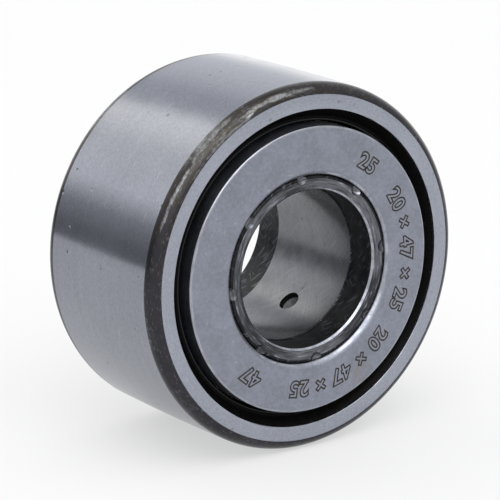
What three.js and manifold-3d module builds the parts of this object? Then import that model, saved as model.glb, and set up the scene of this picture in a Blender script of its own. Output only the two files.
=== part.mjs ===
// Yoke-type track roller (cam follower) for a 20 mm pin: a thick, slightly crowned outer ring
// runs on caged needle rollers round an inner ring. A side plate is pressed on each end of the
// inner ring, and a thrust washer and a seal fill the gap between it and the outer ring.
// Millimetres. The roller turns about the Y axis, -Y is its front face, +Z is up,
// and the origin is the centre of the bearing.
import * as THREE from "three";
import { mergeVertices } from "three/addons/utils/BufferGeometryUtils.js";
import Module from "manifold-3d";

const wasm = await Module();
wasm.setup();

// ---------- Driving dimensions ----------
const BORE_R = 10;
const OUTSIDE_R = 23.5;
const OVERALL_HALF = 12.5;
const OUTER_RING_HALF = 12;
const PLATE_R = 18.25;
const RACEWAY_R = 12.5;
const NEEDLE_R = 1.5;
const NEEDLE_LENGTH = 13.8;
const NEEDLE_COUNT = 18;

// ---------- Gaps between neighbouring pieces ----------
const RUNNING_GAP = 0.03;
const FIXED_GAP = 0.03;
const AXIAL_GAP = 0.05;
const SEAL_GAP = 0.15;

// ---------- Fineness of the faceted surfaces ----------
const RING_SEGMENTS = 64;
const NEEDLE_SEGMENTS = 16;
const HOLE_SEGMENTS = 20;
const DENT_SEGMENTS = 10;
const CORNER_STEPS = 3;

// ---------- Side plates ----------
const PLATE_THICKNESS = 3.2;
const PLATE_RIM_EDGE = 0.2;
const PLATE_BORE_EDGE = 0.6;
const PLATE_SEAT_R = 12;
const PLATE_INNER_Y = OVERALL_HALF - PLATE_THICKNESS;

// ---------- Inner ring ----------
const INNER_RING_BACK = OVERALL_HALF - 0.1;
const INNER_RING_FRONT = OVERALL_HALF - 0.4;
const END_DISH = 0.08;
const BORE_CHAMFER = 0.12;
const GROUND_BORE_HALF = 7.75;
const RELIEF_R = BORE_R + 0.12;
const OIL_HOLE = { r: 1.4, clockDeg: 143 };
const DENT = { r: 0.9, depth: 0.35, centreR: 11.75, count: 8, clockDeg: 39 };

// ---------- Needle set ----------
const PITCH_R = RACEWAY_R + NEEDLE_R;
const NEEDLE_END = 0.3;
const CAGE = { inner: 12.85, outer: 15.2, half: 8.15 };
const POCKET_CLEARANCE = 0.06;

// ---------- Outer ring ----------
const OUTER_RACEWAY_R = PITCH_R + NEEDLE_R;
const RIB_HALF = 8.3;
const RIB_EDGE = 0.2;
const CROWN_DROP = 0.14;
const CORNER = { radial: 1.3, axial: 1.8 };
const COUNTERBORE = { r: 20.2, edge: 0.1 };
const SEAL_GROOVE = { r: 20.5, y0: 9.8, y1: 10.9 };

// ---------- Thrust washers and seals ----------
const WASHER = { inner: 12.85, outer: 20.1, thickness: 0.85 };
const SEAL = { lipR: PLATE_R + SEAL_GAP, innerY: 9.35, lipY: 10.5, rimY: 11.6, rimWidth: 0.4 };

// ---------- Materials ----------
const metal = (color, roughness) => new THREE.MeshStandardMaterial({ color, roughness, metalness: 1 });
const nonMetal = (color, roughness) => new THREE.MeshStandardMaterial({ color, roughness, metalness: 0 });
const groundSteel = metal(0xa9adb4, 0.28);
const innerRingSteel = metal(0x9c9da1, 0.35);
const plateSteel = metal(0x9a9da4, 0.45);
const needleSteel = metal(0xbfc2c6, 0.15);
const cageSteel = metal(0x77797c, 0.5);
const sealRubber = nonMetal(0x0d0d0e, 0.4);
const washerPlastic = nonMetal(0xd8d2bf, 0.5);

// ---------- Helpers for turned shapes ----------
const point = (r, y) => new THREE.Vector2(r, y);
const mirrored = (points) => points.map((p) => point(p.x, -p.y)).reverse();

// A whole section from its +Y half and, where the two ends differ, the front's half drawn at +Y too. A half
// starts at the outside and ends at the bore.
const bothHalves = (back, front = back) => [...back, ...mirrored(front)];

// The section of a piece at the back (+Y) or, mirrored, of its twin at the front (-Y).
const onSide = (side, section) => (side > 0 ? section : mirrored(section));

// A ring turned about Y. Its section runs anticlockwise, so that the faces point out.
const ring = (section) => new THREE.LatheGeometry([...section, section[0]], RING_SEGMENTS);

// A quarter of an ellipse from the rim of a ring to its end face.
function roundedCorner(rimR, rimY, faceR, faceY) {
  const corner = [];
  for (let i = 0; i <= CORNER_STEPS; i++) {
    const a = (i / CORNER_STEPS) * (Math.PI / 2);
    const r = faceR + (rimR - faceR) * Math.cos(a);
    const y = rimY + (faceY - rimY) * Math.sin(a);
    corner.push(point(r, y));
  }
  return corner;
}

// ---------- Helpers for cut shapes ----------
function solidOf(geometry) {
  const bare = geometry.clone();
  bare.deleteAttribute("normal");
  bare.deleteAttribute("uv");
  const merged = mergeVertices(bare, 1e-4);
  const mesh = new wasm.Mesh({
    numProp: 3,
    vertProperties: new Float32Array(merged.attributes.position.array),
    triVerts: new Uint32Array(merged.index.array),
  });
  return new wasm.Manifold(mesh);
}

function geometryOf(solid) {
  const mesh = solid.getMesh();
  const geometry = new THREE.BufferGeometry();
  geometry.setAttribute("position", new THREE.BufferAttribute(mesh.vertProperties, 3));
  geometry.setIndex(new THREE.BufferAttribute(mesh.triVerts, 1));
  return geometry;
}

function cut(body, cutters) {
  let solid = solidOf(body);
  for (const cutter of cutters) {
    solid = solid.subtract(solidOf(cutter));
  }
  return geometryOf(solid);
}

// Angles round the roller run clockwise from +Z, as seen from the front.
const stepAngle = (i, count) => (i / count) * 2 * Math.PI;
const radians = THREE.MathUtils.degToRad;

// ---------- Outer ring: crowned tread, and at each end a counterbore with a groove for the seal ----------
function outerRing() {
  const cornerY = OUTER_RING_HALF - CORNER.axial;
  const shoulderY = cornerY / 2;
  const crownR = (y) => OUTSIDE_R - CROWN_DROP * (y / OUTER_RING_HALF) ** 2;
  const faceR = crownR(OUTER_RING_HALF) - CORNER.radial;
  const half = [
    point(crownR(shoulderY), shoulderY),
    ...roundedCorner(crownR(cornerY), cornerY, faceR, OUTER_RING_HALF),
    point(COUNTERBORE.r + COUNTERBORE.edge, OUTER_RING_HALF),
    point(COUNTERBORE.r, OUTER_RING_HALF - COUNTERBORE.edge),
    point(COUNTERBORE.r, SEAL_GROOVE.y1),
    point(SEAL_GROOVE.r, SEAL_GROOVE.y1),
    point(SEAL_GROOVE.r, SEAL_GROOVE.y0),
    point(COUNTERBORE.r, SEAL_GROOVE.y0),
    point(COUNTERBORE.r, RIB_HALF),
    point(OUTER_RACEWAY_R + RIB_EDGE, RIB_HALF),
    point(OUTER_RACEWAY_R, RIB_HALF - RIB_EDGE),
  ];
  return ring([point(OUTSIDE_R, 0), ...bothHalves(half)]);
}

// ---------- Inner ring: a seat for a plate at each end, a ground bore relieved at both ends, ----------
// ---------- one oil hole, and small dents at the ends where the plates are staked on ----------
function oilHoleDrill() {
  const drill = new THREE.CylinderGeometry(OIL_HOLE.r, OIL_HOLE.r, RACEWAY_R, HOLE_SEGMENTS);
  drill.rotateX(Math.PI / 2);
  drill.translate(0, 0, RACEWAY_R);
  return drill.rotateY(radians(OIL_HOLE.clockDeg));
}

function dentPunches() {
  const punches = [];
  for (const ringEndY of [-INNER_RING_FRONT, INNER_RING_BACK]) {
    for (let i = 0; i < DENT.count; i++) {
      const punch = new THREE.CylinderGeometry(DENT.r, DENT.r, 2 * DENT.depth, DENT_SEGMENTS);
      punch.translate(0, ringEndY, DENT.centreR);
      punches.push(punch.rotateY(radians(DENT.clockDeg) + stepAngle(i, DENT.count)));
    }
  }
  return punches;
}

function innerRingHalf(ringEndY) {
  const seatEndY = PLATE_INNER_Y - AXIAL_GAP;
  const boreMouthY = ringEndY - END_DISH;
  return [
    point(RACEWAY_R, seatEndY),
    point(PLATE_SEAT_R, seatEndY),
    point(PLATE_SEAT_R, ringEndY),
    point(RELIEF_R + BORE_CHAMFER, boreMouthY),
    point(RELIEF_R, boreMouthY - BORE_CHAMFER),
    point(RELIEF_R, GROUND_BORE_HALF),
    point(BORE_R, GROUND_BORE_HALF - (RELIEF_R - BORE_R)),
  ];
}

function innerRing() {
  const outline = bothHalves(innerRingHalf(INNER_RING_BACK), innerRingHalf(INNER_RING_FRONT));
  return cut(ring(outline), [oilHoleDrill(), ...dentPunches()]);
}

// ---------- Side plate: pressed on the inner ring, with a rounded rim and a chamfered bore ----------
function sidePlate(side) {
  const boreR = PLATE_SEAT_R + FIXED_GAP;
  return ring(
    onSide(side, [
      point(boreR, PLATE_INNER_Y),
      point(PLATE_R - PLATE_RIM_EDGE, PLATE_INNER_Y),
      point(PLATE_R, PLATE_INNER_Y + PLATE_RIM_EDGE),
      point(PLATE_R, OVERALL_HALF - PLATE_RIM_EDGE),
      point(PLATE_R - PLATE_RIM_EDGE, OVERALL_HALF),
      point(boreR + PLATE_BORE_EDGE, OVERALL_HALF),
      point(boreR, OVERALL_HALF - PLATE_BORE_EDGE),
    ]),
  );
}

// ---------- Seal: snapped into the outer ring's groove, with its lip round the side plate's rim ----------
function seal(side) {
  const wallR = COUNTERBORE.r - AXIAL_GAP;
  const beadR = SEAL_GROOVE.r - AXIAL_GAP;
  const beadY0 = SEAL_GROOVE.y0 + AXIAL_GAP;
  const beadY1 = SEAL_GROOVE.y1 - AXIAL_GAP;
  return ring(
    onSide(side, [
      point(SEAL.lipR, SEAL.innerY),
      point(wallR, SEAL.innerY),
      point(wallR, beadY0),
      point(beadR, beadY0),
      point(beadR, beadY1),
      point(wallR, beadY1),
      point(wallR, SEAL.rimY),
      point(wallR - SEAL.rimWidth, SEAL.rimY),
      point(SEAL.lipR + SEAL.rimWidth, SEAL.lipY),
      point(SEAL.lipR, SEAL.lipY),
    ]),
  );
}

// ---------- Thrust washer: a flat plastic ring between the outer ring's rib and the side plate ----------
function thrustWasher(side) {
  const ribSideY = RIB_HALF + AXIAL_GAP;
  const plateSideY = ribSideY + WASHER.thickness;
  return ring(
    onSide(side, [
      point(WASHER.inner, ribSideY),
      point(WASHER.outer, ribSideY),
      point(WASHER.outer, plateSideY),
      point(WASHER.inner, plateSideY),
    ]),
  );
}

// ---------- Needle set: a one-piece cage with a pocket for each needle ----------
function needleCage() {
  const body = ring([
    point(CAGE.inner, -CAGE.half),
    point(CAGE.outer, -CAGE.half),
    point(CAGE.outer, CAGE.half),
    point(CAGE.inner, CAGE.half),
  ]);
  const width = 2 * (NEEDLE_R + POCKET_CLEARANCE);
  const length = NEEDLE_LENGTH + 4 * POCKET_CLEARANCE;
  const depth = 2 * (CAGE.outer - CAGE.inner);
  const pockets = [];
  for (let i = 0; i < NEEDLE_COUNT; i++) {
    const pocket = new THREE.BoxGeometry(width, length, depth);
    pocket.translate(0, 0, PITCH_R);
    pockets.push(pocket.rotateY(stepAngle(i, NEEDLE_COUNT)));
  }
  return cut(body, pockets);
}

function needle() {
  const end = NEEDLE_LENGTH / 2;
  const r = NEEDLE_R - RUNNING_GAP;
  const profile = [
    point(0, -end),
    point(r - NEEDLE_END, -end),
    point(r, NEEDLE_END - end),
    point(r, end - NEEDLE_END),
    point(r - NEEDLE_END, end),
    point(0, end),
  ];
  return new THREE.LatheGeometry(profile, NEEDLE_SEGMENTS);
}

// ---------- Assembly ----------
const roller = new THREE.Group();

function add(name, geometry, material) {
  const mesh = new THREE.Mesh(geometry, material);
  mesh.name = name;
  roller.add(mesh);
  return mesh;
}

add("outer_ring", outerRing(), groundSteel);
add("inner_ring", innerRing(), innerRingSteel);
for (const [label, side] of [["front", -1], ["back", 1]]) {
  add("side_plate_" + label, sidePlate(side), plateSteel);
  add("seal_" + label, seal(side), sealRubber);
  add("thrust_washer_" + label, thrustWasher(side), washerPlastic);
}
add("needle_cage", needleCage(), cageSteel);
for (let i = 0; i < NEEDLE_COUNT; i++) {
  const a = stepAngle(i, NEEDLE_COUNT);
  const mesh = add("needle_" + String(i + 1).padStart(2, "0"), needle(), needleSteel);
  mesh.position.set(PITCH_R * Math.sin(a), 0, PITCH_R * Math.cos(a));
}

export default roller;
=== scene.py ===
import math

import bmesh
import bpy
from mathutils import Matrix, Vector


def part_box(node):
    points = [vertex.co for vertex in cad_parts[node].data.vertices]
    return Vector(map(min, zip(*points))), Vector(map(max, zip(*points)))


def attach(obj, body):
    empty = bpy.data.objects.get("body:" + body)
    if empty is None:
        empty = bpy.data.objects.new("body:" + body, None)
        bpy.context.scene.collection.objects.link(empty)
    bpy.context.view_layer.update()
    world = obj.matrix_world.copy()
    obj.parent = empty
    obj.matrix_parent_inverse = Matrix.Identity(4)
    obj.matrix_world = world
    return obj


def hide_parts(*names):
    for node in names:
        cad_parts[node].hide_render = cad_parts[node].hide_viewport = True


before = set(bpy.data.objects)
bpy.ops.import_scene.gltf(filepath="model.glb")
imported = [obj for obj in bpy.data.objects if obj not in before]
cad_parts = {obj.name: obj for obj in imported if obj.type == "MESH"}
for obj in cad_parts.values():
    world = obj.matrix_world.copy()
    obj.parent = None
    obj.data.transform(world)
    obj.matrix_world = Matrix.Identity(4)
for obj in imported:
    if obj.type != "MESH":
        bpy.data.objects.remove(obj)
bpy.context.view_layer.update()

# A yoke-type track roller, shown standing on its tread. Everything is in metres, in the CAD frame: the
# roller turns about Y, its front face looks along -Y, and the origin is the centre of the bearing. Clock
# angles run clockwise from the top as seen from the front. The fine meshes take the CAD nodes' places.

MM = 0.001

# ---------- Sizes read from the frame ----------


def outer_size(name):
    """(outside radius, lowest y, highest y) of a round CAD node."""
    low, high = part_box(name)
    return high.x, low.y, high.y


OUTSIDE_R, _, RING_END = outer_size("outer_ring")
RACEWAY_R, INNER_FRONT, INNER_BACK = outer_size("inner_ring")
PLATE_R, PLATE_BACK, PLATE_FACE = outer_size("side_plate_back")
SEAL_BEAD_R, SEAL_BACK, SEAL_RIM = outer_size("seal_back")
WASHER_R, WASHER_Y0, WASHER_Y1 = outer_size("thrust_washer_back")
CAGE_R, _, CAGE_END = outer_size("needle_cage")
NEEDLE_LOW, NEEDLE_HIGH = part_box("needle_01")
NEEDLE_R = NEEDLE_HIGH.x
NEEDLE_END = NEEDLE_HIGH.y
PITCH_R = (NEEDLE_LOW.z + NEEDLE_HIGH.z) / 2
NEEDLES = [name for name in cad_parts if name.startswith("needle_") and name != "needle_cage"]

# ---------- Other sizes ----------
BORE_R = 10 * MM
RELIEF_R = BORE_R + 0.12 * MM
GROUND_BORE_END = 7.75 * MM
PLATE_SEAT_R = 12 * MM
PLATE_BORE_R = PLATE_SEAT_R + 0.04 * MM
LOOSE_BORE_R = 12.85 * MM  # of the thrust washers and the cage, clear of the inner ring
OIL_HOLE_R = 1.4 * MM
OIL_HOLE_CLOCK = math.radians(143)
DENT_COUNT = 8
DENT_CLOCK = math.radians(39)
DENT_CENTRE_R = 11.75 * MM
DENT_R = 1.05 * MM
DENT_DEPTH = 0.42 * MM
CROWN_DROP = 0.14 * MM
CORNER_RADIAL = 1.3 * MM
CORNER_AXIAL = 1.8 * MM
CORNER_ARC_R = 1.72 * MM
COUNTERBORE_R = 20.2 * MM
COUNTERBORE_END = 8.3 * MM
SEAL_GROOVE_DEPTH = 0.3 * MM
SEAL_GROOVE_LOW = 9.8 * MM
SEAL_GROOVE_HIGH = 10.9 * MM
OUTER_RACEWAY_R = PITCH_R + 1.5 * MM
SEAL_LIP_R = PLATE_R + 0.03 * MM
SEAL_CREST_R = 18.72 * MM

# ---------- Marks ----------
STAIN_R = 16.9 * MM
STAIN_CLOCK = math.radians(152)
# The middle of the browner part of the outer ring's corners.
WARM_R = 22.8 * MM
WARM_CLOCK = math.radians(-25)
# Pale streaks on the same corners, partly scuffs and partly a painted highlight that stands in for light
# caught
# along the corners: (clock angle in degrees, radius in mm, half length in degrees, half width in mm,
# strength).
SCUFFS_AND_PAINTED_HIGHLIGHTS = [
    (-59, 23.1, 15, 0.15, 1.0),
    (-39, 23.3, 12, 0.24, 0.75),
    (-34, 22.28, 20, 0.22, 0.65),
    (-11, 22.78, 16, 0.32, 0.9),
    (-23, 22.5, 1.8, 0.14, 1.6),
]
NUMERAL_R = 15.25 * MM
NUMERAL_HEIGHT = 2.0 * MM
NUMERAL_LINE_R = 0.19 * MM
# Groups of numerals: (text, clock angle of its middle in degrees).
NUMERAL_GROUPS = [("20 × 47 × 25", 88), ("20 × 47 × 25", 161), ("25", 35.5), ("47", 217)]

# ---------- Mesh fineness ----------
RING_SEGMENTS = 256
NEEDLE_SEGMENTS = 48
EDGE_STEPS = 5
SHARP_ANGLE = math.radians(28)


def clock_point(radius, y, angle):
    """The point at a radius, a height y along the axis, and a clock angle in radians."""
    return Vector((radius * math.sin(angle), y, radius * math.cos(angle)))


# ---------- Node helpers ----------
def node(tree, kind, inputs=None, **settings):
    """Adds a shader node. Inputs may be values or sockets, and settings are the node's own properties."""
    made = tree.nodes.new(kind)
    for name, value in settings.items():
        setattr(made, name, value)
    for key, value in (inputs or {}).items():
        if isinstance(value, bpy.types.NodeSocket):
            tree.links.new(value, made.inputs[key])
        else:
            made.inputs[key].default_value = value
    return made


def calc(tree, operation, *values):
    """One Math node, as a socket."""
    return node(tree, "ShaderNodeMath", dict(enumerate(values)), operation=operation).outputs[0]


def weighted(tree, *shares):
    """The sum of some values, each times its share. shares are (value, share) pairs."""
    terms = [calc(tree, "MULTIPLY", value, share) for value, share in shares]
    total = terms[0]
    for term in terms[1:]:
        total = calc(tree, "ADD", total, term)
    return total


def blend(tree, factor, first, second):
    """A colour between first and second."""
    made = node(tree, "ShaderNodeMix", {0: factor, 6: first, 7: second}, data_type="RGBA")
    return made.outputs[2]


def tint(tree, color, mask, share, shade):
    """A colour that goes that share of the way to shade where the mask is 1."""
    return blend(tree, calc(tree, "MULTIPLY", mask, share), color, shade)


def remap(tree, value, low, high, to_low=0.0, to_high=1.0):
    """Value from low..high to to_low..to_high, smoothly and without going past either end."""
    inputs = {0: value, 1: low, 2: high, 3: to_low, 4: to_high}
    return node(tree, "ShaderNodeMapRange", inputs, interpolation_type="SMOOTHSTEP").outputs[0]


def object_point(tree):
    """Coordinates in metres that move with the piece."""
    return node(tree, "ShaderNodeTexCoord").outputs["Object"]


def off_axis(tree):
    """The distance from the roller's axis."""
    x, _, z = node(tree, "ShaderNodeSeparateXYZ", {0: object_point(tree)}).outputs
    return calc(tree, "SQRT", calc(tree, "ADD", calc(tree, "MULTIPLY", x, x), calc(tree, "MULTIPLY", z, z)))


def around_axis(tree, around, across):
    """Coordinates stretched round the roller's axis: a pattern in them is turned or ground on a lathe."""
    x, y, z = node(tree, "ShaderNodeSeparateXYZ", {0: object_point(tree)}).outputs
    radius = off_axis(tree)
    turn_x = calc(tree, "MULTIPLY", calc(tree, "DIVIDE", x, radius), around)
    turn_z = calc(tree, "MULTIPLY", calc(tree, "DIVIDE", z, radius), around)
    step = calc(tree, "MULTIPLY", calc(tree, "ADD", radius, y), across)
    return node(tree, "ShaderNodeCombineXYZ", {0: turn_x, 1: step, 2: turn_z}).outputs[0]


def far_from(tree, place):
    """The distance from a place on the roller."""
    inputs = {0: object_point(tree), 1: place}
    return node(tree, "ShaderNodeVectorMath", inputs, operation="DISTANCE").outputs["Value"]


def noise(tree, vector, scale, detail=2.0, roughness=0.5):
    """Soft noise about 0.5, with scale cells to each unit of the vector."""
    inputs = {"Vector": vector, "Scale": scale, "Detail": detail, "Roughness": roughness}
    return node(tree, "ShaderNodeTexNoise", inputs).outputs["Fac"]


def ring_patch(tree, clock, radius, half_length, half_width):
    """1 in a ragged patch that follows the ring, fading to 0 outside it. half_length is in radians."""
    x, _, z = node(tree, "ShaderNodeSeparateXYZ", {0: object_point(tree)}).outputs
    along = calc(tree, "DIVIDE", calc(tree, "SUBTRACT", calc(tree, "ARCTAN2", x, z), clock), half_length)
    across = calc(tree, "DIVIDE", calc(tree, "SUBTRACT", off_axis(tree), radius), half_width)
    off = calc(tree, "ADD", calc(tree, "MULTIPLY", along, along), calc(tree, "MULTIPLY", across, across))
    ragged = noise(tree, around_axis(tree, 16, 1100), 1.0, 3.0, 0.6)
    off = calc(tree, "ADD", off, remap(tree, ragged, 0.3, 0.7, -0.45, 0.45))
    return remap(tree, off, -0.2, 1.0, 1.0, 0.0)


def dips(tree, spacing, radius):
    """1 at the middle of small round dips scattered about spacing apart, and 0 between them."""
    inputs = {"Vector": object_point(tree), "Scale": 1 / spacing}
    away = node(tree, "ShaderNodeTexVoronoi", inputs).outputs["Distance"]
    return remap(tree, away, 0.0, radius / spacing, 1.0, 0.0)


def streaks(tree, slant, length, scale, detail=2.0):
    """Noise on the bore's wall drawn out in lines, at a slant off the bore's axis. A larger length draws it
    out further."""
    x, y, z = node(tree, "ShaderNodeSeparateXYZ", {0: object_point(tree)}).outputs
    around = calc(tree, "MULTIPLY", calc(tree, "ARCTAN2", z, x), BORE_R)
    wall = node(tree, "ShaderNodeCombineXYZ", {0: around, 1: y}).outputs[0]
    settings = {"Vector": wall, "Rotation": (0, 0, slant), "Scale": (1, length, 1)}
    drawn_out = node(tree, "ShaderNodeMapping", settings, vector_type="TEXTURE").outputs[0]
    return noise(tree, drawn_out, scale, detail)


def bump(tree, height, depth, under=None):
    """The surface direction for a pattern of heights. under is another bump that this one lies on."""
    inputs = {"Height": height, "Distance": depth}
    if under is not None:
        inputs["Normal"] = under
    return node(tree, "ShaderNodeBump", inputs).outputs[0]


def new_material(name, metallic=0.0):
    """(material, its node tree, its Principled shader)"""
    material = bpy.data.materials.new(name)
    material.use_nodes = True
    tree = material.node_tree
    shader = tree.nodes["Principled BSDF"]
    shader.inputs["Metallic"].default_value = metallic
    return material, tree, shader


def finish_shader(tree, shader, color, roughness, normal):
    tree.links.new(color, shader.inputs["Base Color"])
    tree.links.new(roughness, shader.inputs["Roughness"])
    tree.links.new(normal, shader.inputs["Normal"])


def grey(value, blue=0.0):
    """A steel colour of that brightness, linear, cooler by the share blue."""
    return (value * (1 - blue / 3), value, value * (1 + blue), 1)


# ---------- Materials ----------
def ground_steel(name, dark, light, roughness):
    """Steel ground round the axis: short fine lines, faint clouding, a few longer marks, and small dips."""
    material, tree, shader = new_material(name, metallic=1.0)
    shader.inputs["Anisotropic"].default_value = 0.85
    shader.inputs["Anisotropic Rotation"].default_value = 0.25
    tangent = node(tree, "ShaderNodeTangent", direction_type="RADIAL", axis="Y").outputs[0]
    tree.links.new(tangent, shader.inputs["Tangent"])
    lines = noise(tree, around_axis(tree, 56, 6500), 1.0, 3.0, 0.7)
    bands = noise(tree, around_axis(tree, 2, 900), 1.0, 2.0)
    cloud = noise(tree, object_point(tree), 110, 3.0, 0.55)
    specks = remap(tree, noise(tree, object_point(tree), 900, 2.0), 0.74, 0.8)
    marks = remap(tree, noise(tree, around_axis(tree, 9, 3500), 1.0, 0.0), 0.78, 0.84)
    dip = dips(tree, spacing=2.6 * MM, radius=0.36 * MM)
    tone = weighted(tree, (lines, 0.7), (bands, 0.1), (cloud, 0.2))
    color = blend(tree, remap(tree, tone, 0.34, 0.66), dark, light)
    color = tint(tree, color, marks, 0.2, grey(0.5, 0.1))
    color = tint(tree, color, specks, 0.35, grey(0.12, 0.02))
    color = tint(tree, color, dip, 0.45, grey(0.1, 0.02))
    uneven = weighted(tree, (cloud, 1.0), (lines, 0.4))
    rough = remap(tree, uneven, 0.4, 1.0, roughness * 0.85, roughness * 1.15)
    height = weighted(tree, (lines, 1.0), (marks, -0.6))
    normal = bump(tree, height, 0.002 * MM, under=bump(tree, dip, -0.05 * MM))
    finish_shader(tree, shader, color, rough, normal)
    return material


def corner_steel():
    """The outer ring's unground corners: dark and satin from hardening, browner over the upper left, with
    worn specks and small flecks all round, and long pale streaks that are partly scuffs and partly a
    painted highlight."""
    material, tree, shader = new_material("hardened_corner_steel", metallic=1.0)
    skin = noise(tree, object_point(tree), 1500, 4.0, 0.65)
    warmth = ring_patch(tree, WARM_CLOCK, WARM_R, math.radians(60), 4 * MM)
    patch = noise(tree, object_point(tree), 190, 4.0, 0.65)
    specks = noise(tree, around_axis(tree, 40, 3000), 1.0, 3.0, 0.65)
    wear_and_painted_highlight = calc(tree, "MULTIPLY", remap(tree, patch, 0.52, 0.70), remap(tree, specks, 0.46, 0.66, 0.0, 0.4))
    flecks = remap(tree, noise(tree, around_axis(tree, 30, 4200), 1.0, 1.0), 0.62, 0.74, 0.0, 0.24)
    wear_and_painted_highlight = calc(tree, "MAXIMUM", wear_and_painted_highlight, flecks)
    rubbed = remap(tree, noise(tree, around_axis(tree, 60, 2600), 1.0, 4.0, 0.7), 0.36, 0.62, 0.4, 1.0)
    # Each streak paints a pale highlight where light catches the corner, laid over scuff texture.
    for clock, radius, length, width, strength in SCUFFS_AND_PAINTED_HIGHLIGHTS:
        scuff_and_painted_highlight = ring_patch(tree, math.radians(clock), radius * MM, math.radians(length), width * MM)
        scuff_and_painted_highlight = calc(tree, "MULTIPLY", scuff_and_painted_highlight, strength)
        wear_and_painted_highlight = calc(tree, "MAXIMUM", wear_and_painted_highlight, calc(tree, "MULTIPLY", scuff_and_painted_highlight, rubbed))
    oxide = blend(tree, warmth, (0.044, 0.042, 0.048, 1), (0.045, 0.041, 0.035, 1))
    oxide = blend(tree, remap(tree, skin, 0.35, 0.7, 0.0, 0.4), oxide, grey(0.026, 0.06))
    color = tint(tree, oxide, wear_and_painted_highlight, 0.8, grey(0.33, 0.06))
    rough = remap(tree, calc(tree, "ADD", wear_and_painted_highlight, skin), 0.3, 1.4, 0.24, 0.36)
    height = weighted(tree, (skin, 1.0), (wear_and_painted_highlight, -0.5))
    finish_shader(tree, shader, color, rough, bump(tree, height, 0.008 * MM))
    return material


def tumbled_steel():
    """The side plates' matte face: even fine grain, tiny dark pits and bright flecks, and one faint brown
    stain."""
    material, tree, shader = new_material("tumbled_plate_steel", metallic=1.0)
    grain = noise(tree, object_point(tree), 2600, 4.0, 0.75)
    mottle = noise(tree, object_point(tree), 300, 4.0, 0.6)
    pits = remap(tree, noise(tree, object_point(tree), 1500, 1.0), 0.70, 0.76)
    flecks = remap(tree, noise(tree, object_point(tree), 2100, 1.0), 0.72, 0.77)
    far = far_from(tree, clock_point(STAIN_R, -PLATE_FACE, STAIN_CLOCK))
    ragged = remap(tree, noise(tree, object_point(tree), 700, 3.0), 0.35, 0.65)
    stain = calc(tree, "MULTIPLY", remap(tree, far, 0.3 * MM, 2.4 * MM, 1.0, 0.0), ragged)
    tone = weighted(tree, (grain, 0.6), (mottle, 0.4))
    color = blend(tree, remap(tree, tone, 0.34, 0.66), grey(0.218, 0.18), grey(0.298, 0.20))
    color = tint(tree, color, stain, 0.55, (0.25, 0.215, 0.165, 1))
    color = tint(tree, color, pits, 0.16, grey(0.12))
    color = tint(tree, color, flecks, 0.35, grey(0.48, 0.1))
    rough = remap(tree, tone, 0.3, 0.7, 0.34, 0.44)
    height = weighted(tree, (tone, 1.0), (pits, -0.8))
    finish_shader(tree, shader, color, rough, bump(tree, height, 0.004 * MM))
    return material


def burnished_steel():
    """Edges rubbed bright in tumbling: pale, smooth, with fine nicks."""
    material, tree, shader = new_material("burnished_edge_steel", metallic=1.0)
    rub = noise(tree, around_axis(tree, 9, 5200), 1.0, 4.0, 0.7)
    nicks = remap(tree, noise(tree, object_point(tree), 1300, 2.0), 0.66, 0.74)
    color = blend(tree, remap(tree, rub, 0.35, 0.65), grey(0.25, 0.14), grey(0.42, 0.12))
    color = tint(tree, color, nicks, 0.5, grey(0.22, 0.05))
    rough = remap(tree, rub, 0.3, 0.7, 0.32, 0.2)
    height = calc(tree, "SUBTRACT", rub, nicks)
    finish_shader(tree, shader, color, rough, bump(tree, height, 0.004 * MM))
    return material


def turned_end_steel():
    """The inner ring's ends: turning marks round the axis, dull skin, and patches rubbed brighter."""
    material, tree, shader = new_material("turned_end_steel", metallic=1.0)
    grooves = noise(tree, around_axis(tree, 4, 5200), 1.0, 3.0, 0.65)
    rubbed = noise(tree, around_axis(tree, 5, 3600), 1.0, 3.0, 0.6)
    patch = noise(tree, object_point(tree), 110, 2.0)
    tone = weighted(tree, (grooves, 0.5), (rubbed, 0.5))
    tone = calc(tree, "ADD", tone, remap(tree, patch, 0.35, 0.65, -0.08, 0.08))
    color = blend(tree, remap(tree, tone, 0.36, 0.66), grey(0.040, 0.12), grey(0.15, 0.12))
    color = blend(tree, remap(tree, rubbed, 0.58, 0.72, 0.0, 0.6), color, grey(0.40, 0.10))
    rough = remap(tree, tone, 0.3, 0.7, 0.34, 0.22)
    finish_shader(tree, shader, color, rough, bump(tree, tone, 0.008 * MM))
    return material


def relief_steel():
    """The relieved ends of the bore: dark as hardened, crossed by slanting scratches."""
    material, tree, shader = new_material("dark_relief_steel", metallic=1.0)
    skin = noise(tree, object_point(tree), 700, 4.0, 0.6)
    steep = remap(tree, streaks(tree, 0.95, 7, 3300, 1.0), 0.60, 0.68)
    shallow = remap(tree, streaks(tree, -0.6, 9, 3600, 1.0), 0.66, 0.73)
    scratches = calc(tree, "MAXIMUM", steep, shallow)
    color = blend(tree, remap(tree, skin, 0.3, 0.7), grey(0.012, 0.10), grey(0.032, 0.10))
    color = tint(tree, color, scratches, 0.45, grey(0.16, 0.06))
    rough = remap(tree, skin, 0.3, 0.7, 0.36, 0.5)
    finish_shader(tree, shader, color, rough, bump(tree, skin, 0.008 * MM))
    return material


def honed_bore_steel():
    """The ground bore: two sets of fine slanting lines that cross, over faint clouding and a few dark
    spots."""
    material, tree, shader = new_material("honed_bore_steel", metallic=1.0)
    lines = calc(tree, "MAXIMUM", *[streaks(tree, slant, 14, 3600) for slant in (0.9, -0.9)])
    cloud = noise(tree, object_point(tree), 320, 4.0, 0.6)
    spots = remap(tree, noise(tree, object_point(tree), 1100, 1.0), 0.72, 0.78)
    tone = weighted(tree, (lines, 0.5), (cloud, 0.5))
    color = blend(tree, remap(tree, tone, 0.4, 0.68), grey(0.138, 0.07), grey(0.192, 0.09))
    color = tint(tree, color, spots, 0.6, grey(0.06))
    rough = remap(tree, cloud, 0.3, 0.7, 0.25, 0.31)
    finish_shader(tree, shader, color, rough, bump(tree, lines, 0.003 * MM))
    return material


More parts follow.
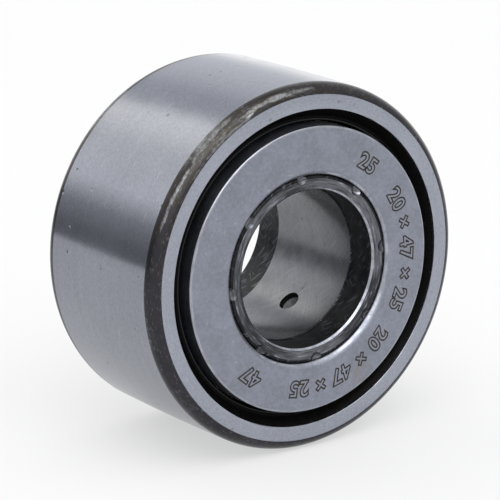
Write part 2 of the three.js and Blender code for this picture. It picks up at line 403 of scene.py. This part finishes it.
def drilled_steel():
    """The oil hole's wall: drill rings and swarf specks, with painted shade that makes it black near the
    bore and dull grey further out.
    """
    material, tree, shader = new_material("drilled_steel", metallic=0.3)
    painted_shade_end = BORE_R + 0.75 * MM
    grey_start = BORE_R + 0.9 * MM
    inputs = {0: object_point(tree), 1: clock_point(1, 0, OIL_HOLE_CLOCK)}
    along = node(tree, "ShaderNodeVectorMath", inputs, operation="DOT_PRODUCT").outputs["Value"]
    rings = noise(tree, calc(tree, "MULTIPLY", along, 5000), 1.0, 2.0)
    specks = noise(tree, object_point(tree), 1800, 3.0, 0.7)
    tone = weighted(tree, (rings, 0.4), (specks, 0.6))
    color = blend(tree, remap(tree, tone, 0.35, 0.68), grey(0.35, 0.03), grey(0.65, 0.05))
    # Painted shade: the wall is coloured near-black along its stretch next to the bore.
    color = blend(tree, remap(tree, along, painted_shade_end, grey_start), grey(0.005), color)
    rough = remap(tree, specks, 0.3, 0.7, 0.5, 0.65)
    finish_shader(tree, shader, color, rough, bump(tree, tone, 0.01 * MM))
    return material


def seal_rubber():
    """Moulded black seal: smooth, with a faint skin and dust, and a painted highlight that makes it greyer
    along its lip's crest.
    """
    material, tree, shader = new_material("glossy_seal_rubber")
    shader.inputs["Specular IOR Level"].default_value = 0.03
    skin = noise(tree, around_axis(tree, 30, 2500), 1.0, 3.0)
    dust = remap(tree, noise(tree, object_point(tree), 2600, 2.0), 0.66, 0.74)
    # Painted highlight: the lip's crest is coloured grey to stand in for the light it would catch.
    off_crest = calc(tree, "ABSOLUTE", calc(tree, "SUBTRACT", off_axis(tree), SEAL_CREST_R))
    painted_crest_highlight = remap(tree, off_crest, 0.03 * MM, 0.12 * MM, 1.0, 0.0)
    color = blend(tree, skin, (0.0022, 0.002, 0.0019, 1), (0.0045, 0.004, 0.0038, 1))
    color = tint(tree, color, dust, 0.12, grey(0.05))
    color = blend(tree, painted_crest_highlight, color, grey(0.03, 0.1))
    rough = remap(tree, skin, 0.3, 0.7, 0.2, 0.32)
    finish_shader(tree, shader, color, rough, bump(tree, skin, 0.006 * MM))
    return material


def washer_plastic():
    """The thrust washers: cream nylon with a soft mould grain."""
    material, tree, shader = new_material("washer_nylon")
    grain = noise(tree, object_point(tree), 1500, 4.0)
    cloud = noise(tree, object_point(tree), 180, 2.0)
    color = blend(tree, cloud, (0.60, 0.53, 0.38, 1), (0.72, 0.66, 0.52, 1))
    rough = remap(tree, grain, 0.3, 0.7, 0.4, 0.55)
    finish_shader(tree, shader, color, rough, bump(tree, grain, 0.01 * MM))
    return material


def cage_steel():
    """The pressed cage: dull phosphated steel with an oily variation."""
    material, tree, shader = new_material("cage_steel", metallic=1.0)
    grain = noise(tree, object_point(tree), 2200, 4.0, 0.6)
    oil = noise(tree, object_point(tree), 240, 3.0)
    color = blend(tree, grain, grey(0.09), grey(0.2, 0.03))
    rough = remap(tree, oil, 0.3, 0.7, 0.3, 0.55)
    finish_shader(tree, shader, color, rough, bump(tree, grain, 0.008 * MM))
    return material


def needle_steel():
    """The needles: lapped bright steel with a hair-fine grain."""
    material, tree, shader = new_material("needle_steel", metallic=1.0)
    fine = noise(tree, object_point(tree), 5000, 3.0, 0.6)
    cloud = noise(tree, object_point(tree), 500, 2.0)
    color = blend(tree, cloud, grey(0.5, 0.03), grey(0.62, 0.03))
    rough = remap(tree, fine, 0.3, 0.7, 0.08, 0.16)
    finish_shader(tree, shader, color, rough, bump(tree, fine, 0.002 * MM))
    return material


def etched_oxide():
    """The etched numerals: thin dark brown lines, uneven where the etch was weaker."""
    material, tree, shader = new_material("etched_oxide", metallic=0.6)
    uneven = noise(tree, object_point(tree), 2400, 3.0, 0.6)
    color = blend(tree, remap(tree, uneven, 0.35, 0.7), (0.014, 0.012, 0.011, 1), (0.055, 0.041, 0.030, 1))
    rough = remap(tree, uneven, 0.3, 0.7, 0.5, 0.65)
    finish_shader(tree, shader, color, rough, bump(tree, uneven, 0.004 * MM))
    return material


def floor_paint():
    """A pale light table: it glows a little, so that shadows on it stay soft and light."""
    material, tree, shader = new_material("pale_floor")
    shader.inputs["Specular IOR Level"].default_value = 0.2
    shader.inputs["Emission Color"].default_value = (1, 1, 1, 1)
    shader.inputs["Emission Strength"].default_value = 0.53
    cloud = noise(tree, object_point(tree), 6, 2.0)
    color = blend(tree, cloud, (0.280, 0.280, 0.282, 1), (0.290, 0.290, 0.291, 1))
    rough = remap(tree, cloud, 0.3, 0.7, 0.75, 0.85)
    finish_shader(tree, shader, color, rough, bump(tree, cloud, 0.01 * MM))
    return material


MATERIALS = {
    "tread": ground_steel("ground_tread_steel", grey(0.214, 0.14), grey(0.291, 0.15), 0.165),
    "end_face": ground_steel("ground_face_steel", grey(0.296, 0.16), grey(0.383, 0.17), 0.24),
    "corner": corner_steel(),
    "plate": tumbled_steel(),
    "burnished": burnished_steel(),
    "turned_end": turned_end_steel(),
    "relief": relief_steel(),
    "bore": honed_bore_steel(),
    "oil_hole": drilled_steel(),
    "seal": seal_rubber(),
    "washer": washer_plastic(),
    "cage": cage_steel(),
    "needle": needle_steel(),
    "etch": etched_oxide(),
}


# ---------- Mesh helpers ----------
def finished_mesh(name, shape):
    """The mesh of a drawn shape, with its faces turned outward."""
    bmesh.ops.recalc_face_normals(shape, faces=shape.faces)
    mesh = bpy.data.meshes.new(name)
    shape.to_mesh(mesh)
    shape.free()
    return mesh


def shade_smooth(mesh):
    """Makes a mesh smooth between its sharp edges."""
    mesh.polygons.foreach_set("use_smooth", [True] * len(mesh.polygons))
    mesh.set_sharp_from_angle(angle=SHARP_ANGLE)


def new_piece(name, mesh, surfaces):
    """An object for a mesh. surfaces are the names of its materials."""
    for surface in surfaces:
        mesh.materials.append(MATERIALS[surface])
    shade_smooth(mesh)
    piece = bpy.data.objects.new(name, mesh)
    bpy.context.scene.collection.objects.link(piece)
    return piece


def with_edges(corners):
    """Rounds a closed outline's corners. Each is (r, y, edge size, surface), and the surface runs on to the
    next corner. A fifth value names another surface for the rounded edge itself."""
    outline = []
    for i, (r, y, edge, surface, *edge_surface) in enumerate(corners):
        corner = Vector((r, y))
        before = Vector(corners[i - 1][:2])
        after = Vector(corners[(i + 1) % len(corners)][:2])
        if edge == 0:
            outline.append((corner, surface))
            continue
        start = corner + (before - corner).normalized() * edge
        end = corner + (after - corner).normalized() * edge
        for step in range(EDGE_STEPS + 1):
            t = step / EDGE_STEPS
            point = start * (1 - t) ** 2 + corner * 2 * t * (1 - t) + end * t**2
            on_edge = edge_surface and step < EDGE_STEPS
            outline.append((point, edge_surface[0] if on_edge else surface))
    return outline


def turned_mesh(name, outline, surfaces):
    """A closed ring turned about Y from an outline of ((r, y), surface) points."""
    shape = bmesh.new()
    rows = []
    for k in range(RING_SEGMENTS):
        angle = 2 * math.pi * k / RING_SEGMENTS
        rows.append([shape.verts.new(clock_point(p.x, p.y, angle)) for p, _ in outline])
    for k in range(RING_SEGMENTS):
        row = rows[k]
        following = rows[(k + 1) % RING_SEGMENTS]
        for i, (_, surface) in enumerate(outline):
            j = (i + 1) % len(outline)
            face = shape.faces.new((row[i], row[j], following[j], following[i]))
            face.material_index = surfaces.index(surface)
    return finished_mesh(name, shape)


def turned(name, corners):
    """A piece turned about Y from an outline whose corners are as with_edges takes them."""
    outline = with_edges(corners)
    surfaces = sorted({surface for _, surface in outline})
    return new_piece(name, turned_mesh(name, outline, surfaces), surfaces)


def carve(piece, cutter_mesh):
    """Cuts a closed mesh out of a piece. The cut faces keep the cutter's material numbers."""
    cutter = bpy.data.objects.new("cutter", cutter_mesh)
    bpy.context.scene.collection.objects.link(cutter)
    cut = piece.modifiers.new("cut", "BOOLEAN")
    cut.operation = "DIFFERENCE"
    cut.solver = "EXACT"
    cut.object = cutter
    graph = bpy.context.evaluated_depsgraph_get()
    carved = bpy.data.meshes.new_from_object(piece.evaluated_get(graph), depsgraph=graph)
    piece.modifiers.clear()
    piece.data = carved
    bpy.data.objects.remove(cutter)
    shade_smooth(carved)


def joined(name, parts):
    """One mesh from several bmesh drawing steps, each called with the shape that it adds to."""
    shape = bmesh.new()
    for part in parts:
        part(shape)
    return finished_mesh(name, shape)


def set_surface(made, surface_number):
    """Gives the faces that a bmesh primitive has just made one material number."""
    for face in {face for vertex in made["verts"] for face in vertex.link_faces}:
        face.material_index = surface_number


def rod(start, end, radius, segments, surface_number=0):
    """A drawing step: a straight rod between two points."""

    def draw(shape):
        along = end - start
        turn = along.to_track_quat("Z", "Y").to_matrix().to_4x4()
        place = Matrix.Translation((start + end) / 2) @ turn
        made = bmesh.ops.create_cone(shape, cap_ends=True, segments=segments, radius1=radius,
                                     radius2=radius, depth=along.length, matrix=place)
        set_surface(made, surface_number)

    return draw


def ball(centre, radius, surface_number):
    """A drawing step: a round ball."""

    def draw(shape):
        place = Matrix.Translation(centre)
        made = bmesh.ops.create_uvsphere(shape, u_segments=32, v_segments=16, radius=radius, matrix=place)
        set_surface(made, surface_number)

    return draw


def on_side(side, corners):
    """The outline of a back piece or, mirrored, of its twin at the front."""
    return [(r, side * y, *finish) for r, y, *finish in corners]


def both_ends(back, front=None):
    """A whole outline from its half with y above 0. front is the half to mirror for the front, where that
    differs. A surface keeps its place between the same two corners."""
    corners = front or back
    mirrored = []
    for i in range(len(corners) - 1, -1, -1):
        r, y, edge, _, *edge_surface = corners[i]
        surface = corners[i - 1][3] if i > 0 else corners[0][3]
        mirrored.append((r, -y, edge, surface, *edge_surface))
    return back + mirrored


# ---------- Outer ring ----------
def corner_arc(start, end, radius):
    """Points on an arc from start to end, bulging away from the axis and towards the end face."""
    steps = 10
    middle = (start + end) / 2
    half = (end - start) / 2
    out = Vector((half.y, -half.x)).normalized()
    centre = middle - out * math.sqrt(radius**2 - half.length_squared)
    first = math.atan2(start.y - centre.y, start.x - centre.x)
    last = math.atan2(end.y - centre.y, end.x - centre.x)
    angles = [first + (last - first) * i / steps for i in range(steps + 1)]
    return [centre + Vector((math.cos(a), math.sin(a))) * radius for a in angles]


def make_outer_ring():
    corner_y = RING_END - CORNER_AXIAL
    crown_steps = 6

    def crown_r(y):
        return OUTSIDE_R - CROWN_DROP * (y / RING_END) ** 2

    half = []
    for i in range(crown_steps):
        y = corner_y * (i + 0.5) / crown_steps
        half.append((crown_r(y), y, 0, "tread"))
    start = Vector((crown_r(corner_y), corner_y))
    end = Vector((crown_r(RING_END) - CORNER_RADIAL, RING_END))
    for point in corner_arc(start, end, CORNER_ARC_R)[:-1]:
        half.append((point.x, point.y, 0, "corner"))
    groove_r = COUNTERBORE_R + SEAL_GROOVE_DEPTH
    half += [
        (end.x, end.y, 0, "end_face"),
        (COUNTERBORE_R, RING_END, 0.12 * MM, "end_face", "burnished"),
        (COUNTERBORE_R, SEAL_GROOVE_HIGH, 0, "end_face"),
        (groove_r, SEAL_GROOVE_HIGH, 0, "end_face"),
        (groove_r, SEAL_GROOVE_LOW, 0, "end_face"),
        (COUNTERBORE_R, SEAL_GROOVE_LOW, 0, "end_face"),
        (COUNTERBORE_R, COUNTERBORE_END, 0.1 * MM, "end_face"),
        (OUTER_RACEWAY_R, COUNTERBORE_END, 0.2 * MM, "tread"),
    ]
    ring = turned("outer_ring_steel", both_ends(half))
    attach(ring, "outer")
    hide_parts("outer_ring")


# ---------- Inner ring ----------
def inner_ring_half(end):
    """The outline of the half with y above 0. Its staked rim stands at y = end, its face a little lower."""
    shoulder_y = PLATE_BACK - 0.05 * MM
    rim_outer_y = end - 0.03 * MM
    rim_r = 11.45 * MM
    dish_r = 11.25 * MM
    dish_y = end - 0.08 * MM
    mouth_r = RELIEF_R + 0.32 * MM
    mouth_y = dish_y - 0.26 * MM
    ground_end_y = GROUND_BORE_END - (RELIEF_R - BORE_R)
    return [
        (RACEWAY_R, shoulder_y, 0.05 * MM, "tread"),
        (PLATE_SEAT_R, shoulder_y, 0, "turned_end"),
        (PLATE_SEAT_R, rim_outer_y, 0.45 * MM, "turned_end", "relief"),
        (rim_r, end, 0.08 * MM, "turned_end"),
        (dish_r, dish_y, 0.08 * MM, "turned_end"),
        (mouth_r, dish_y, 0.08 * MM, "burnished", "turned_end"),
        (RELIEF_R, mouth_y, 0.06 * MM, "relief", "burnished"),
        (RELIEF_R, GROUND_BORE_END, 0.04 * MM, "relief"),
        (BORE_R, ground_end_y, 0.04 * MM, "bore"),
    ]


def make_inner_ring():
    outline = both_ends(inner_ring_half(INNER_BACK), front=inner_ring_half(-INNER_FRONT))
    ring = turned("inner_ring_steel", outline)
    ring.data.materials.append(MATERIALS["oil_hole"])
    surfaces = [slot.material for slot in ring.material_slots]
    end_number = surfaces.index(MATERIALS["turned_end"])
    hole_number = surfaces.index(MATERIALS["oil_hole"])
    drill_from = clock_point(8 * MM, 0, OIL_HOLE_CLOCK)
    drill_to = clock_point(15 * MM, 0, OIL_HOLE_CLOCK)
    steps = [rod(drill_from, drill_to, OIL_HOLE_R, segments=48, surface_number=hole_number)]
    rise = DENT_R - DENT_DEPTH
    for ball_y in (INNER_FRONT - rise, INNER_BACK + rise):
        for k in range(DENT_COUNT):
            angle = DENT_CLOCK + 2 * math.pi * k / DENT_COUNT
            centre = clock_point(DENT_CENTRE_R, ball_y, angle)
            steps.append(ball(centre, DENT_R, end_number))
    carve(ring, joined("inner_ring_cuts", steps))
    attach(ring, "inner")
    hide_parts("inner_ring")


# ---------- Side plates ----------
def make_side_plate(label, side):
    rim_edge = 0.3 * MM
    bevel_width = 0.6 * MM
    bevel_depth = 0.5 * MM
    corners = [
        (PLATE_BORE_R, PLATE_BACK, 0.1 * MM, "plate"),
        (PLATE_R, PLATE_BACK, rim_edge, "plate", "burnished"),
        (PLATE_R, PLATE_FACE, rim_edge, "plate", "burnished"),
        (PLATE_BORE_R + bevel_width, PLATE_FACE, 0.3 * MM, "burnished", "plate"),
        (PLATE_BORE_R, PLATE_FACE - bevel_depth, 0.15 * MM, "plate"),
    ]
    plate = turned(f"side_plate_{label}_steel", on_side(side, corners))
    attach(plate, "inner")
    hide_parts(f"side_plate_{label}")


# ---------- Seals ----------
def make_seal(label, side):
    """A ring with a bead in the counterbore's groove, a valley, a crest, and a lip close to the plate."""
    play = 0.05 * MM
    wall_r = COUNTERBORE_R - play
    bead_low = SEAL_GROOVE_LOW + play
    bead_high = SEAL_GROOVE_HIGH - play
    valley = (19.1 * MM, 10.4 * MM)
    crest_y = 10.65 * MM
    crest_inside = (18.52 * MM, 10.5 * MM)
    lip_root = (18.42 * MM, 9.7 * MM)
    lip_y = 9.6 * MM
    corners = [
        (SEAL_LIP_R, SEAL_BACK, 0, "seal"),
        (wall_r, SEAL_BACK, 0, "seal"),
        (wall_r, bead_low, 0, "seal"),
        (SEAL_BEAD_R, bead_low, 0.1 * MM, "seal"),
        (SEAL_BEAD_R, bead_high, 0.1 * MM, "seal"),
        (wall_r, bead_high, 0, "seal"),
        (wall_r, SEAL_RIM, 0.06 * MM, "seal"),
        (*valley, 0.3 * MM, "seal"),
        (SEAL_CREST_R, crest_y, 0.09 * MM, "seal"),
        (*crest_inside, 0.06 * MM, "seal"),
        (*lip_root, 0.05 * MM, "seal"),
        (SEAL_LIP_R, lip_y, 0.04 * MM, "seal"),
    ]
    seal = turned(f"seal_{label}_rubber", on_side(side, corners))
    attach(seal, "outer")
    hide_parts(f"seal_{label}")


# ---------- Thrust washers ----------
def make_thrust_washer(label, side):
    """A plain ring with shallow round-bottomed grease grooves across both faces."""
    edge = 0.1 * MM
    groove_count = 6
    groove_r = 0.5 * MM
    groove_rise = 0.3 * MM
    groove_from = 10 * MM
    groove_to = 22 * MM
    corners = [
        (LOOSE_BORE_R, WASHER_Y0, edge, "washer"),
        (WASHER_R, WASHER_Y0, edge, "washer"),
        (WASHER_R, WASHER_Y1, edge, "washer"),
        (LOOSE_BORE_R, WASHER_Y1, edge, "washer"),
    ]
    washer = turned(f"thrust_washer_{label}_nylon", on_side(side, corners))
    steps = []
    for k in range(groove_count):
        angle = 2 * math.pi * (k + 0.5) / groove_count
        for y in (side * (WASHER_Y0 - groove_rise), side * (WASHER_Y1 + groove_rise)):
            start = clock_point(groove_from, y, angle)
            end = clock_point(groove_to, y, angle)
            steps.append(rod(start, end, groove_r, segments=24))
    carve(washer, joined("washer_grooves", steps))
    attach(washer, "outer")
    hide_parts(f"thrust_washer_{label}")


# ---------- Needle cage and needles ----------
def pocket(angle):
    """A drawing step: one slot through the cage, with round corners along its length."""
    half_width = 1.56 * MM
    half_length = NEEDLE_END + 0.12 * MM
    corner = 0.35 * MM
    depth = 3 * MM

    def draw(shape):
        outline = []
        for sx, sy, first in ((1, 1, 0), (-1, 1, 90), (-1, -1, 180), (1, -1, 270)):
            for step in range(EDGE_STEPS + 1):
                angle_here = math.radians(first + 90 * step / EDGE_STEPS)
                x = sx * (half_width - corner) + corner * math.cos(angle_here)
                y = sy * (half_length - corner) + corner * math.sin(angle_here)
                outline.append((x, y))
        turn = Matrix.Rotation(angle, 4, "Y")
        low = [shape.verts.new(turn @ Vector((x, y, PITCH_R - depth))) for x, y in outline]
        high = [shape.verts.new(turn @ Vector((x, y, PITCH_R + depth))) for x, y in outline]
        shape.faces.new(low)
        shape.faces.new(high)
        for i in range(len(outline)):
            j = (i + 1) % len(outline)
            shape.faces.new((low[i], low[j], high[j], high[i]))

    return draw


def make_cage():
    edge = 0.15 * MM
    corners = [
        (LOOSE_BORE_R, -CAGE_END, edge, "cage"),
        (CAGE_R, -CAGE_END, edge, "cage"),
        (CAGE_R, CAGE_END, edge, "cage"),
        (LOOSE_BORE_R, CAGE_END, edge, "cage"),
    ]
    cage = turned("needle_cage_steel", corners)
    pockets = [pocket(2 * math.pi * k / len(NEEDLES)) for k in range(len(NEEDLES))]
    carve(cage, joined("cage_pockets", pockets))
    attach(cage, "cage")
    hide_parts("needle_cage")


def make_needle(name):
    """A needle with domed ends and a rounded edge, turned about its own axis and moved to its place."""
    low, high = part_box(name)
    centre = (low + high) / 2
    weld_distance = 0.0001 * MM
    # The domed end: (share of the needle's radius, mm below its tip).
    dome = [(0.0, 0.0), (0.5, 0.03), (0.8, 0.12), (0.94, 0.28), (1.0, 0.6)]
    profile = [(share * NEEDLE_R, NEEDLE_END - drop * MM) for share, drop in dome]
    profile += [(r, -y) for r, y in reversed(profile)]
    shape = bmesh.new()
    chain = [shape.verts.new((r, y, 0)) for r, y in profile]
    edges = [shape.edges.new(pair) for pair in zip(chain, chain[1:])]
    bmesh.ops.spin(shape, geom=chain + edges, axis=(0, 1, 0), cent=(0, 0, 0), steps=NEEDLE_SEGMENTS,
                   angle=2 * math.pi)
    bmesh.ops.remove_doubles(shape, verts=shape.verts, dist=weld_distance)
    bmesh.ops.translate(shape, verts=shape.verts, vec=centre)
    needle = new_piece(f"{name}_steel", finished_mesh(name, shape), ["needle"])
    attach(needle, name)
    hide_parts(name)


# ---------- Etched size numerals on the front plate ----------
def lettering(text):
    """Thin closed tubes along the outlines of a line of numerals, flat, centred on x, standing on y = 0."""
    height_share = 0.7
    curve = bpy.data.curves.new("numerals", "FONT")
    curve.body = text
    curve.size = NUMERAL_HEIGHT / height_share
    curve.align_x = "CENTER"
    curve.space_character = 1.1
    curve.fill_mode = "NONE"
    curve.offset = 0.09 * MM
    curve.bevel_depth = NUMERAL_LINE_R
    curve.bevel_resolution = 1
    curve.resolution_u = 5
    text_object = bpy.data.objects.new("numerals", curve)
    bpy.context.scene.collection.objects.link(text_object)
    graph = bpy.context.evaluated_depsgraph_get()
    mesh = bpy.data.meshes.new_from_object(text_object.evaluated_get(graph), depsgraph=graph)
    bpy.data.objects.remove(text_object)
    return mesh


def make_numerals():
    """Bends the lines of numerals round the front plate and sinks them until little of each tube shows."""
    sink = 0.83 * NUMERAL_LINE_R
    shape = bmesh.new()
    for text, clock in NUMERAL_GROUPS:
        mesh = lettering(text)
        for vertex in mesh.vertices:
            x, y, height = vertex.co
            angle = math.radians(clock) + x / NUMERAL_R
            radius = NUMERAL_R - NUMERAL_HEIGHT / 2 + y
            vertex.co = clock_point(radius, -PLATE_FACE + sink - height, angle)
        shape.from_mesh(mesh)
        bpy.data.meshes.remove(mesh)
    numerals = new_piece("size_numerals", finished_mesh("size_numerals", shape), ["etch"])
    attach(numerals, "inner")


# ---------- Studio ----------
def make_floor():
    """A round table, set a little to the right so that its far left edge is near."""
    radius = 360 * MM
    centre = Vector((120 * MM, 20 * MM, -OUTSIDE_R))
    shape = bmesh.new()
    bmesh.ops.create_circle(shape, cap_ends=True, segments=128, radius=radius)
    mesh = finished_mesh("floor", shape)
    mesh.transform(Matrix.Translation(centre))
    mesh.materials.append(floor_paint())
    floor = bpy.data.objects.new("floor", mesh)
    bpy.context.scene.collection.objects.link(floor)


def softbox(name, direction, distance, width, height, radiance):
    """A flat lamp that looks at the origin. radiance is its brightness as a reflection shows it."""
    lamp = bpy.data.lights.new(name, "AREA")
    lamp.shape = "RECTANGLE"
    lamp.size = width
    lamp.size_y = height
    lamp.energy = radiance * math.pi * width * height
    holder = bpy.data.objects.new(name, lamp)
    towards = Vector(direction).normalized()
    holder.location = towards * distance
    holder.rotation_euler = towards.to_track_quat("Z", "Y").to_euler()
    bpy.context.scene.collection.objects.link(holder)


def make_world():
    """The room as metal reflects it. Behind the roller its brightness follows the clock angle about Y: a
    gap at the left, then a long panel, brightest at the top, that ends in a crisp edge, and a dimmer
    right. The front is even, and brighter overhead. The camera itself sees plain white."""
    # Behind the roller: (clock angle in degrees, brightness, blue share).
    behind_stops = [
        (-90, 0.29, 0.06), (-74, 0.57, 0.03), (-58, 1.42, 0), (-26, 1.44, -0.02), (-14, 1.84, -0.05),
        (-1, 2.02, -0.05), (5, 1.0, 0.02), (20, 0.85, 0.06), (36, 1.14, 0.02), (55, 1.14, 0.04),
        (70, 1.04, 0.05), (84, 1.35, 0), (90, 1.48, 0),
    ]
    brightest = 2.2
    white = 0.97
    overhead_direction = Vector((-0.2, -0.55, 0.81))
    world = bpy.data.worlds.new("studio")
    world.use_nodes = True
    tree = world.node_tree
    direction = node(tree, "ShaderNodeTexCoord").outputs["Generated"]
    x, y, z = node(tree, "ShaderNodeSeparateXYZ", {0: direction}).outputs
    turn = calc(tree, "MULTIPLY_ADD", calc(tree, "ARCTAN2", x, z), 0.5 / math.pi, 0.5)
    ramp = node(tree, "ShaderNodeValToRGB", {0: turn})
    elements = ramp.color_ramp.elements
    while len(elements) < len(behind_stops):
        elements.new(0.5)
    for element, (clock, radiance, blue) in zip(elements, behind_stops):
        element.position = clock / 360 + 0.5
        element.color = grey(radiance / brightest, blue)
    inputs = {0: direction, 1: overhead_direction}
    overhead = node(tree, "ShaderNodeVectorMath", inputs, operation="DOT_PRODUCT").outputs["Value"]
    front = calc(tree, "ADD", remap(tree, z, 0.0, 0.5, 0.85, 0.95), remap(tree, overhead, 0.6, 0.9))
    front = calc(tree, "DIVIDE", front, brightest)
    room = blend(tree, remap(tree, y, -0.1, 0.35), front, ramp.outputs[0])
    seen = node(tree, "ShaderNodeLightPath").outputs["Is Camera Ray"]
    color = blend(tree, seen, room, grey(white / brightest))
    tree.links.new(color, tree.nodes["Background"].inputs["Color"])
    tree.nodes["Background"].inputs["Strength"].default_value = brightest
    bpy.context.scene.world = world


def make_camera():
    """A long lens, low at the front left, that looks at the middle of the roller."""
    azimuth = math.radians(-36.06)
    elevation = math.radians(15.47)
    distance = 362.8 * MM
    aside = -0.19 * MM
    above = -0.16 * MM
    right = Vector((math.cos(azimuth), math.sin(azimuth), 0))
    level = math.cos(elevation)
    back = Vector((math.sin(azimuth) * level, -math.cos(azimuth) * level, math.sin(elevation)))
    up = back.cross(right)
    data = bpy.data.cameras.new("camera")
    data.sensor_width = 36
    data.lens = 205.4
    data.clip_start = 0.01
    data.clip_end = 20
    camera = bpy.data.objects.new("camera", data)
    place = Matrix((right, up, back)).transposed().to_4x4()
    place.translation = back * distance + right * aside + up * above
    camera.matrix_world = place
    bpy.context.scene.collection.objects.link(camera)
    bpy.context.scene.camera = camera


make_outer_ring()
make_inner_ring()
for label, side in (("front", -1), ("back", 1)):
    make_side_plate(label, side)
    make_seal(label, side)
    make_thrust_washer(label, side)
make_cage()
for name in NEEDLES:
    make_needle(name)
make_numerals()

make_floor()
softbox("key", direction=(-0.3, -0.58, 0.76), distance=0.6, width=0.5, height=0.36, radiance=1.6)
make_world()
make_camera()
bpy.context.scene.view_settings.view_transform = "Standard"
